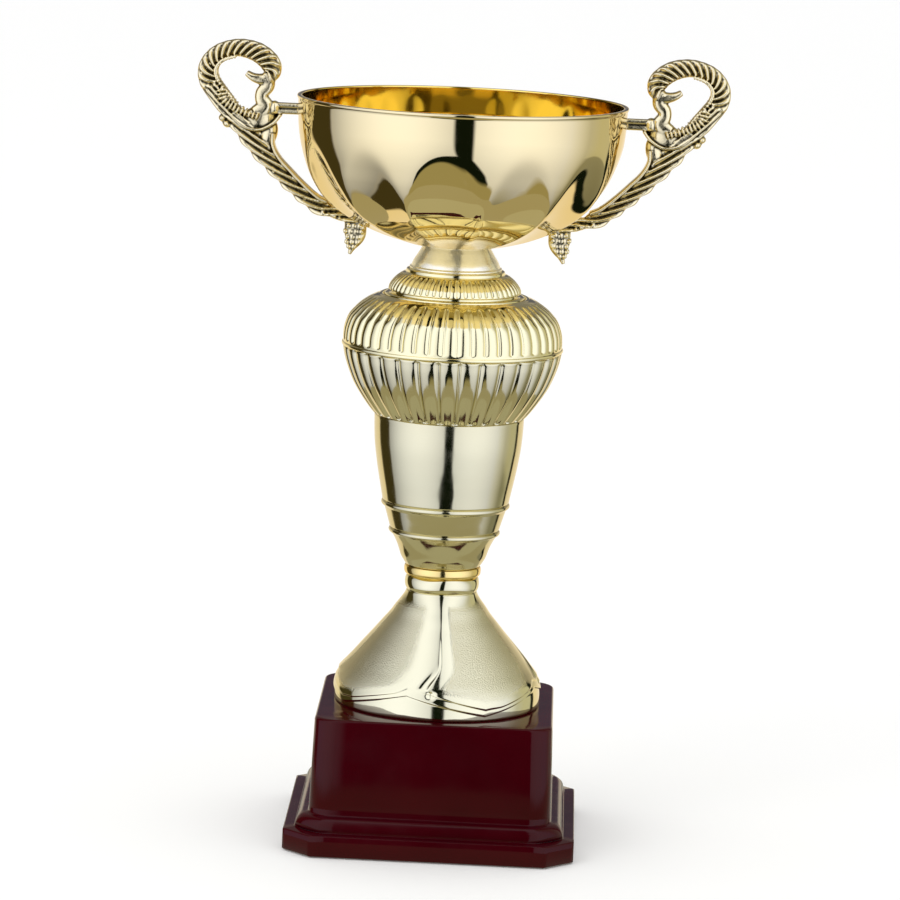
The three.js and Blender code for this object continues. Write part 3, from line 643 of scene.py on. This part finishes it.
def fused_handle():
    """One watertight casting made from the handle's overlapping bodies."""
    points, faces, start = [], [], 0
    for part_points, part_faces in handle_parts():
        points.append(part_points)
        faces += [[corner + start for corner in face] for face in part_faces]
        start += len(part_points)
    piece = mesh_of("right_scroll_handle", np.vstack(points), faces)
    remesh = piece.modifiers.new("fuse", "REMESH")
    remesh.mode = "VOXEL"
    remesh.voxel_size = 0.34 * MM
    remesh.use_smooth_shade = True
    apply_modifiers(piece)
    soften = piece.modifiers.new("soften", "SMOOTH")
    soften.factor, soften.iterations = 0.5, 2
    cutter = cup_cutter()
    trim = piece.modifiers.new("trim", "BOOLEAN")
    trim.operation, trim.object, trim.solver = "DIFFERENCE", cutter, "FAST"
    apply_modifiers(piece)
    bpy.data.objects.remove(cutter)
    keep_largest_part(piece)
    piece.data.polygons.foreach_set("use_smooth", [True] * len(piece.data.polygons))
    return piece


def handles(material):
    right = fused_handle()
    left = bpy.data.objects.new("left_scroll_handle", right.data.copy())
    bpy.context.scene.collection.objects.link(left)
    left.data.transform(Matrix.Rotation(math.pi, 4, "Z"))
    finish_piece(right, material, "handle_gold", "right_handle")
    finish_piece(left, material, "handle_gold", "left_handle")


# ---- Plinth ----

PLINTH_TOP = high("plinth_shell")
RIM_LIFT = low("plinth_shell")
PLATE_HALF = reach("plinth_shell")
PLATE_CORNER = 12
BLOCK_TOP_HALF, BLOCK_FOOT_HALF = 50.2, 51.2
BLOCK_FOOT = 16.7                # height where the block rises out of the moulding
BLOCK_CORNER = 9.5
BLOCK_EDGE = 1.5                 # rounding of the block's top edge
MOULDING_SPREAD, MOULDING_RISE = 5, 5.9
DECK = 2.5


def square_outline(half, corner, roundness, per_side=16, per_corner=12):
    """A square with its corners taken off: rounded for a roundness of 1, cut straight for 0."""
    inner = half - corner
    straight = np.linspace(-1, 1, per_side, endpoint=False)[:, None] * [[0, inner]] + [[half, 0]]
    share = np.linspace(0, 1, per_corner, endpoint=False)[:, None]
    turn = share * math.pi / 2
    arc = np.column_stack([inner + corner * np.cos(turn), inner + corner * np.sin(turn)])
    cut = np.column_stack([half - corner * share, inner + corner * share])
    side = np.vstack([straight, roundness * arc + (1 - roundness) * cut])
    points = []
    for quarter in range(4):
        turn = quarter * math.pi / 2
        points.append(side @ [[math.cos(turn), math.sin(turn)], [-math.sin(turn), math.cos(turn)]])
    return np.vstack(points)


# The plinth's levels are (height, half width, corner size, roundness of the corners).


def plate_levels():
    """Up the outside of the bottom plate, with its edges eased."""
    return [(RIM_LIFT + 2, PLATE_HALF - 2.5, 11, 0), (RIM_LIFT, PLATE_HALF - 2.4, 11.2, 0),
            (RIM_LIFT, PLATE_HALF - 0.5, 11.8, 0), (RIM_LIFT + 0.5, PLATE_HALF, PLATE_CORNER, 0),
            (9.0, PLATE_HALF, PLATE_CORNER, 0), (9.4, PLATE_HALF - 0.2, PLATE_CORNER, 0),
            (9.6, PLATE_HALF - 0.7, PLATE_CORNER, 0), (9.75, PLATE_HALF - 4.2, 11.6, 0.2),
            (9.9, PLATE_HALF - 4.8, 11.4, 0.3)]


def moulding_levels():
    """The quarter-round moulding between plate and block, and the small step above it."""
    levels = []
    for share in np.linspace(0, 1, 9):
        turn = share * math.pi / 2
        levels.append((10.1 + MOULDING_RISE * math.sin(turn),
                       BLOCK_FOOT_HALF + 0.5 + MOULDING_SPREAD * math.cos(turn),
                       BLOCK_CORNER + 1.4 - share, 0.4 + 0.6 * share))
    return levels + [(16.3, BLOCK_FOOT_HALF + 0.15, BLOCK_CORNER, 1),
                     (BLOCK_FOOT, BLOCK_FOOT_HALF - 0.1, BLOCK_CORNER, 1)]


def block_levels():
    """Up the tapered block and over its rounded top edge."""
    levels = []
    for share in np.linspace(0.06, 1, 10):
        levels.append((BLOCK_FOOT + share * (PLINTH_TOP - BLOCK_EDGE - BLOCK_FOOT),
                       BLOCK_FOOT_HALF + share * (BLOCK_TOP_HALF - BLOCK_FOOT_HALF), BLOCK_CORNER, 1))
    for share in np.linspace(0.15, 1, 7):
        turn = share * math.pi / 2
        levels.append((PLINTH_TOP - BLOCK_EDGE * (1 - math.sin(turn)),
                       BLOCK_TOP_HALF - BLOCK_EDGE * (1 - math.cos(turn)), BLOCK_CORNER, 1))
    return levels


def deck_levels():
    """Across the top to the rod's hole, through it, and down the hollow inside."""
    return [(PLINTH_TOP, 38, BLOCK_CORNER, 1), (PLINTH_TOP, 20, BLOCK_CORNER, 1),
            (PLINTH_TOP, ROD_HOLE, 0.6 * ROD_HOLE, 1), (PLINTH_TOP - DECK, ROD_HOLE, 0.6 * ROD_HOLE, 1),
            (PLINTH_TOP - DECK, 46, 8, 1), (8, 48, 8, 1), (7.1, PLATE_HALF - 3, 11, 0)]


def plinth(material):
    """Block, moulding and plate as one moulded shell, open underneath."""
    rings = []
    levels = plate_levels() + moulding_levels() + block_levels() + deck_levels()
    for height, half, corner, roundness in levels:
        outline = square_outline(half, corner, roundness)
        rings.append(np.column_stack([outline, np.full(len(outline), height)]))
    piece = mesh_of("plinth", np.vstack(rings), grid_faces(len(rings), len(rings[0])))
    return finish_piece(piece, material, "plinth_plastic", "plinth_shell")


# ---- Materials ----


def new_material(name):
    """A material, its node tree, its Principled shader and the coordinates on its object, in metres."""
    material = bpy.data.materials.new(name)
    material.use_nodes = True
    tree = material.node_tree
    shader = tree.nodes["Principled BSDF"]
    coordinates = tree.nodes.new("ShaderNodeTexCoord").outputs["Object"]
    return material, tree, shader, coordinates


def noise(tree, coordinates, scale, detail=2.0, stretch=(1, 1, 1)):
    """A noise value per point of the object, at a scale in waves per metre."""
    mapping = tree.nodes.new("ShaderNodeMapping")
    mapping.inputs["Scale"].default_value = stretch
    tree.links.new(coordinates, mapping.inputs["Vector"])
    texture = tree.nodes.new("ShaderNodeTexNoise")
    texture.inputs["Scale"].default_value = scale
    texture.inputs["Detail"].default_value = detail
    tree.links.new(mapping.outputs["Vector"], texture.inputs["Vector"])
    return texture.outputs["Fac"]


def ramp(tree, value, start, end, from_value, to_value):
    """The value mapped from one range to another, held at the ends."""
    mapped = tree.nodes.new("ShaderNodeMapRange")
    sockets = ("From Min", "From Max", "To Min", "To Max")
    for socket, number in zip(sockets, (start, end, from_value, to_value)):
        mapped.inputs[socket].default_value = number
    tree.links.new(value, mapped.inputs["Value"])
    return mapped.outputs["Result"]


def mix_colours(tree, factor, first, second):
    mixer = tree.nodes.new("ShaderNodeMix")
    mixer.data_type = "RGBA"
    for socket, value in ((6, first), (7, second)):
        if isinstance(value, tuple):
            mixer.inputs[socket].default_value = (*value, 1)
        else:
            tree.links.new(value, mixer.inputs[socket])
    tree.links.new(factor, mixer.inputs[0])
    return mixer.outputs[2]


def maths(tree, operation, *values):
    """The outcome of a sum whose values are numbers or outputs of other nodes."""
    made = tree.nodes.new("ShaderNodeMath")
    made.operation = operation
    for socket, value in zip(made.inputs, values):
        if isinstance(value, (int, float)):
            socket.default_value = value
        else:
            tree.links.new(value, socket)
    return made.outputs[0]


def product(tree, first, *others):
    for other in others:
        first = maths(tree, "MULTIPLY", first, other)
    return first


def add_bump(tree, shader, height, strength, distance):
    bump = tree.nodes.new("ShaderNodeBump")
    bump.inputs["Strength"].default_value = strength
    bump.inputs["Distance"].default_value = distance
    tree.links.new(height, bump.inputs["Height"])
    tree.links.new(bump.outputs["Normal"], shader.inputs["Normal"])


def gold(name, colour, second_colour, roughness, waviness, metallic=1.0):
    """Polished gold: a slow drift of tone, a faint haze in the roughness and a slight waviness."""
    material, tree, shader, coordinates = new_material(name)
    tone = ramp(tree, noise(tree, coordinates, 18), 0.35, 0.7, 0, 1)
    tree.links.new(mix_colours(tree, tone, colour, second_colour), shader.inputs["Base Color"])
    haze = ramp(tree, noise(tree, coordinates, 140, 4), 0.3, 0.8, roughness, roughness * 2.2)
    tree.links.new(haze, shader.inputs["Roughness"])
    shader.inputs["Metallic"].default_value = metallic
    add_bump(tree, shader, noise(tree, coordinates, 60), waviness, 0.0003)
    return material


def handle_gold():
    """Cast scrollwork: gold with painted shade darkening its recesses."""
    material, tree, shader, coordinates = new_material("handle_gold")
    recess = tree.nodes.new("ShaderNodeNewGeometry").outputs["Pointiness"]
    # Painted shade: where pointiness finds a recess, the gold turns near black.
    unshaded_share = ramp(tree, recess, 0.468, 0.506, 0, 1)
    tree.links.new(mix_colours(tree, unshaded_share, (0.022, 0.016, 0.004), (0.82, 0.68, 0.33)),
                   shader.inputs["Base Color"])
    haze = ramp(tree, noise(tree, coordinates, 400, 3), 0.3, 0.7, 0.12, 0.24)
    tree.links.new(haze, shader.inputs["Roughness"])
    shader.inputs["Metallic"].default_value = 1
    add_bump(tree, shader, noise(tree, coordinates, 700), 0.15, 0.0003)
    return material


def foot_gold():
    """The drape: frosted panels with polished hems, fold edges and neck."""
    material, tree, shader, coordinates = new_material("foot_gold")
    tone = ramp(tree, noise(tree, coordinates, 22), 0.35, 0.7, 0, 1)
    tree.links.new(mix_colours(tree, tone, (0.75, 0.68, 0.37), (0.72, 0.64, 0.34)),
                   shader.inputs["Base Color"])
    shader.inputs["Metallic"].default_value = 1
    frost = foot_frost(tree)
    grain = noise(tree, coordinates, 1900, 3)
    polished, frosted = 0.07, 0.29
    roughness = maths(tree, "MULTIPLY_ADD", frost, frosted - polished, polished)
    tree.links.new(roughness, shader.inputs["Roughness"])
    add_bump(tree, shader, product(tree, grain, frost), 0.5, 0.0006)
    return material


def foot_frost(tree):
    """The share of frosting that paint_frost leaves on the foot's mesh."""
    attribute = tree.nodes.new("ShaderNodeAttribute")
    attribute.attribute_name = "frost"
    return attribute.outputs["Fac"]


def paint_frost(piece):
    """Frosts the panels and leaves the hem, the folds and the neck polished."""
    points = np.array([vertex.co for vertex in piece.data.vertices]) / MM
    degrees = np.degrees(np.arctan2(points[:, 0], -points[:, 1]))
    height = points[:, 2] - FOOT_BOTTOM
    above_hem = smoothstep(height - hem_height(degrees) - hem_strip(degrees), 2.0, 4.5)
    turn = fold_turn(degrees, height)
    clear_of_fold = np.maximum(smoothstep(turn, 7, 12), smoothstep(-turn, 14, 26))
    below_neck = 1 - smoothstep(height, 42, 46)
    layer = piece.data.attributes.new("frost", "FLOAT", "POINT")
    layer.data.foreach_set("value", (above_hem * clear_of_fold * below_neck).astype(np.float32))


def burgundy_plastic():
    """Glossy moulded plastic with a faint flow of tone, fine moulding waviness and a few dull patches."""
    material, tree, shader, coordinates = new_material("burgundy_plastic")
    tone = ramp(tree, noise(tree, coordinates, 26, 3), 0.35, 0.7, 0, 1)
    tree.links.new(mix_colours(tree, tone, (0.042, 0.0004, 0.0029), (0.034, 0.0002, 0.0023)),
                   shader.inputs["Base Color"])
    haze = ramp(tree, noise(tree, coordinates, 90, 4), 0.35, 0.75, 0.07, 0.14)
    tree.links.new(haze, shader.inputs["Roughness"])
    shader.inputs["Specular IOR Level"].default_value = 0.16
    shader.inputs["Specular Tint"].default_value = (1, 0.88, 0.62, 1)
    add_bump(tree, shader, noise(tree, coordinates, 45), 0.1, 0.0004)
    return material


def plain_finish(name, colour, roughness, metallic, scale, strength):
    """A small-part finish with grain in its tone, roughness and surface."""
    material, tree, shader, coordinates = new_material(name)
    grain = noise(tree, coordinates, scale, 4)
    darker = tuple(0.7 * channel for channel in colour)
    tree.links.new(mix_colours(tree, grain, darker, colour), shader.inputs["Base Color"])
    tree.links.new(ramp(tree, grain, 0.3, 0.7, roughness * 0.8, min(roughness * 1.3, 1)),
                   shader.inputs["Roughness"])
    shader.inputs["Metallic"].default_value = metallic
    add_bump(tree, shader, grain, strength, 0.0004)
    return material


# ---- Studio ----
# Places round the trophy are directions in degrees: azimuth from the camera's side towards +X, and
# elevation. Only mirror reflections see them.

LEFT_BOX, RIGHT_BOX = (-104, -4), (10, 131)
BOX_MIDDLE = 45
BACKDROP = (-133, 139)           # the backdrop lies beyond these, behind the trophy
TABLE_EDGE = -43
BOX_LIGHT, FAR_BOX_LIGHT, CEILING_LIGHT = (1.35, 1.47, 2.2), (1.42, 1.42, 1.2), (1.35, 1.47, 2.1)
UNLIT, UNLIT_LEFT = (0.006, 0.01, 0.006), (0.06, 0.05, 0.02)
BACKDROP_LOW, BACKDROP_HIGH, DARK_PATCH = (1.0, 0.88, 0.68), (0.24, 0.23, 0.22), (0.12, 0.125, 0.16)
TABLE_BELOW, TABLE_AROUND = (0.56, 0.52, 0.38), (0.39, 0.36, 0.22)


def falling(tree, value, edge, softness=1.2):
    return ramp(tree, value, edge - softness, edge + softness, 1, 0)


def rising(tree, value, edge, softness=1.2):
    return ramp(tree, value, edge - softness, edge + softness, 0, 1)


def across_box(tree, azimuth, middle, curvature):
    """Brightness across a soft box, falling off from its middle."""
    off = product(tree, maths(tree, "ADD", azimuth, -middle), 1 / 40)
    return maths(tree, "SUBTRACT", 1, product(tree, off, off, curvature))


def left_box(tree, azimuth, slit_spread):
    slit_edge = maths(tree, "ADD", azimuth, product(tree, slit_spread, 22))
    return product(tree, rising(tree, azimuth, LEFT_BOX[0]), falling(tree, slit_edge, LEFT_BOX[1]),
                   across_box(tree, azimuth, -BOX_MIDDLE, 0.30))


def right_box(tree, azimuth, elevation, slit_spread):
    """The right-hand box, with a dimmer upright panel round its far side."""
    slit_edge = maths(tree, "SUBTRACT", azimuth, product(tree, slit_spread, 16))
    far_edge = maths(tree, "ADD", azimuth, ramp(tree, elevation, -45, -22, 5, 0))
    panel = product(tree, rising(tree, elevation, -21, 2), 0.45, rising(tree, azimuth, 90))
    light = maths(tree, "MAXIMUM", across_box(tree, azimuth, BOX_MIDDLE, 0.26), panel)
    return product(tree, rising(tree, slit_edge, RIGHT_BOX[0]), falling(tree, far_edge, RIGHT_BOX[1]),
                   maths(tree, "MAXIMUM", light, 0.25))


def box_colours(tree, azimuth, elevation):
    """Both soft boxes and the dark between them. The slit at the camera parts low down."""
    slit_spread = ramp(tree, elevation, -42, -27, 1, 0)
    boxes = maths(tree, "ADD", left_box(tree, azimuth, slit_spread),
                  right_box(tree, azimuth, elevation, slit_spread))
    lit = product(tree, boxes, ramp(tree, elevation, -55, -14, 0.5, 1))
    unlit_colour = mix_colours(tree, falling(tree, azimuth, -100), UNLIT, UNLIT_LEFT)
    box_colour = mix_colours(tree, rising(tree, azimuth, 100, 16), BOX_LIGHT, FAR_BOX_LIGHT)
    return mix_colours(tree, lit, unlit_colour, box_colour)


def backdrop_colours(tree, elevation, backwards):
    """A warm backdrop that dims upwards, with a darker patch straight behind the trophy."""
    patch = product(tree, rising(tree, elevation, 4), falling(tree, elevation, 17),
                    ramp(tree, backwards, 0.95, 0.97, 0, 1))
    dimming = mix_colours(tree, ramp(tree, elevation, -2, 20, 0, 1), BACKDROP_LOW, BACKDROP_HIGH)
    return mix_colours(tree, patch, dimming, DARK_PATCH)


def above_table(tree, azimuth, elevation):
    """1 above the table's edge, which stands higher towards the sides, and 0 on the table."""
    to_side = maths(tree, "MAXIMUM", ramp(tree, azimuth, -42, -6, 1, 0), ramp(tree, azimuth, 24, 70, 0, 1))
    return rising(tree, maths(tree, "ADD", elevation, product(tree, to_side, 15)), TABLE_EDGE, 2)


def studio_world():
    """What the metal mirrors: two broad soft boxes with a dark slit between them at the camera, dark
    gaps behind them, a warm backdrop, a dim table below and a light ceiling. Other rays see white."""
    world = bpy.data.worlds.new("studio")
    bpy.context.scene.world = world
    world.use_nodes = True
    tree = world.node_tree
    direction = tree.nodes.new("ShaderNodeSeparateXYZ")
    tree.links.new(tree.nodes.new("ShaderNodeTexCoord").outputs["Generated"], direction.inputs[0])
    to_camera = product(tree, direction.outputs["Y"], -1)
    degrees = 180 / math.pi
    azimuth = product(tree, maths(tree, "ARCTAN2", direction.outputs["X"], to_camera), degrees)
    elevation = product(tree, maths(tree, "ARCSINE", direction.outputs["Z"]), degrees)

    behind = maths(tree, "ADD", falling(tree, azimuth, BACKDROP[0], 2.5),
                   rising(tree, azimuth, BACKDROP[1], 1.5))
    surround = mix_colours(tree, behind, box_colours(tree, azimuth, elevation),
                           backdrop_colours(tree, elevation, direction.outputs["Y"]))
    table = mix_colours(tree, rising(tree, elevation, -74, 2), TABLE_BELOW, TABLE_AROUND)
    lower = mix_colours(tree, above_table(tree, azimuth, elevation), table, surround)
    mirrored = mix_colours(tree, ramp(tree, elevation, 74, 84, 0, 1), lower, CEILING_LIGHT)
    is_mirror = tree.nodes.new("ShaderNodeLightPath").outputs["Is Glossy Ray"]
    background = tree.nodes["Background"]
    tree.links.new(mix_colours(tree, is_mirror, (1, 1, 1), mirrored), background.inputs["Color"])
    background.inputs["Strength"].default_value = 1


def pale_floor():
    """A plain pale floor, in metres, that takes the trophy's soft shadow and stays out of the metal."""
    size = 60
    mesh = bpy.data.meshes.new("floor")
    mesh.from_pydata([(-size, -size, 0), (size, -size, 0), (size, size, 0), (-size, size, 0)], [],
                     [(0, 1, 2, 3)])
    floor = bpy.data.objects.new("floor", mesh)
    bpy.context.scene.collection.objects.link(floor)
    material, _, shader, _ = new_material("pale_floor")
    shader.inputs["Base Color"].default_value = (0.93, 0.93, 0.92, 1)
    shader.inputs["Roughness"].default_value = 0.9
    shader.inputs["Specular IOR Level"].default_value = 0.1
    shader.inputs["Emission Color"].default_value = (1, 1, 1, 1)
    shader.inputs["Emission Strength"].default_value = 0.07
    mesh.materials.append(material)
    floor.visible_glossy = False


def near_table(name, radius, height, colour):
    """A glowing disc seen only in the metal above it: a painted reflection of the table close to the plinth,
    whose colour holds that table's painted light and shade.
    """
    corners = 48
    turn = np.linspace(0, FULL_TURN, corners, endpoint=False)
    points = np.column_stack([radius * np.cos(turn), radius * np.sin(turn), np.full(corners, height)])
    table = mesh_of(name, points, [list(range(corners))], is_smooth=False)
    material, _, shader, _ = new_material(name)
    shader.inputs["Base Color"].default_value = (0, 0, 0, 1)
    shader.inputs["Specular IOR Level"].default_value = 0
    shader.inputs["Emission Color"].default_value = (*colour, 1)
    shader.inputs["Emission Strength"].default_value = 1
    table.data.materials.append(material)
    table.visible_camera = table.visible_diffuse = table.visible_shadow = False


def key_light():
    """A broad lamp from the upper left that casts the shadow and stays out of the metal."""
    lamp = bpy.data.lights.new("key_light", "AREA")
    lamp.shape = "SQUARE"
    lamp.size = 1.2
    lamp.energy = 8
    light = bpy.data.objects.new("key_light", lamp)
    light.location = (-1.2, -1.4, 1.6)
    aim = Vector((0, 0, 0.15)) - light.location
    light.rotation_euler = aim.to_track_quat("-Z", "Y").to_euler()
    light.visible_camera = False
    light.visible_glossy = False
    bpy.context.scene.collection.objects.link(light)


def photo_camera():
    """A long lens two metres in front and a little higher than the cup, leaning slightly sideways."""
    distance, height = 2.0, 0.489
    azimuth, pitch, lean = math.radians(1.2), math.radians(9.17), math.radians(2.55)
    forward = Vector((-math.sin(azimuth) * math.cos(pitch), math.cos(azimuth) * math.cos(pitch),
                      -math.sin(pitch)))
    level = forward.cross(Vector((0, 0, 1))).normalized()
    above = level.cross(forward)
    right = math.cos(lean) * level + math.sin(lean) * above
    up = -math.sin(lean) * level + math.cos(lean) * above
    data = bpy.data.cameras.new("camera")
    data.sensor_width = 36
    data.lens = 190.0
    data.shift_x = 0.0025
    camera = bpy.data.objects.new("camera", data)
    axes = Matrix((right, up, -forward)).transposed().to_4x4()
    place = Vector((distance * math.sin(azimuth), -distance * math.cos(azimuth), height))
    camera.matrix_world = Matrix.Translation(place) @ axes
    bpy.context.scene.collection.objects.link(camera)
    bpy.context.scene.camera = camera


# ---- Assembly ----

cup_gold = gold("cup_gold", (0.80, 0.65, 0.30), (0.78, 0.62, 0.27), 0.03, 0.02)
column_gold = gold("column_gold", (0.67, 0.60, 0.32), (0.64, 0.56, 0.29), 0.07, 0.04)
# A paler copy of column_gold's metal: painted light on the top-facing collar and upper bulb.
lit_upper_gold = gold("lit_upper_gold", (0.84, 0.74, 0.36), (0.82, 0.71, 0.33), 0.07, 0.04)
# The neck's satin roughness is real; its paler colour and diffuse share are painted light standing in for
# the pale underside of the cup mirrored in it.
satin_lit_gold = gold("satin_lit_gold", (0.97, 0.90, 0.62), (0.95, 0.87, 0.58), 0.13, 0.04, 0.65)
ring_gold = gold("ring_gold", (0.88, 0.66, 0.21), (0.85, 0.62, 0.19), 0.08, 0.03)

cup_bowl(cup_gold, gold("lining_gold", (0.88, 0.66, 0.15), (0.86, 0.62, 0.13), 0.05, 0.02))
neck_riser(satin_lit_gold)
gadroon_collar(lit_upper_gold)
bulb_upper(lit_upper_gold)
bulb_lower(column_gold)
stem(column_gold)
waist_ring(ring_gold)
paint_frost(flared_foot(foot_gold()))
handles(handle_gold())
plinth(burgundy_plastic())

FINISHES = {name: plain_finish(name, *numbers) for name, *numbers in (
    ("zinc_steel", (0.70, 0.71, 0.72), 0.3, 1, 600, 0.1),
    ("ballast_iron", (0.20, 0.20, 0.21), 0.65, 1, 300, 0.5),
    ("cover_plastic", (0.04, 0.04, 0.042), 0.6, 0, 1200, 0.3),
    ("pad_felt", (0.05, 0.05, 0.05), 0.95, 0, 2500, 0.8),
)}
slots = {row["node"]: row["material_slot"] for row in frame["record"]["subparts"]}
for name, cad_piece in frame["nodes"].items():
    if not cad_piece.hide_render and slots[name] in FINISHES:
        cad_piece.data.materials.clear()
        cad_piece.data.materials.append(FINISHES[slots[name]])

studio_world()
pale_floor()
# Painted reflections of the table: a shaded outer ring with a lit middle laid over it.
near_table("shaded_table", 215, 0.1, (0.45, 0.43, 0.33))
near_table("lit_table", 145, 0.2, (0.52, 0.52, 0.44))
key_light()
photo_camera()
bpy.context.scene.view_settings.view_transform = "Standard"
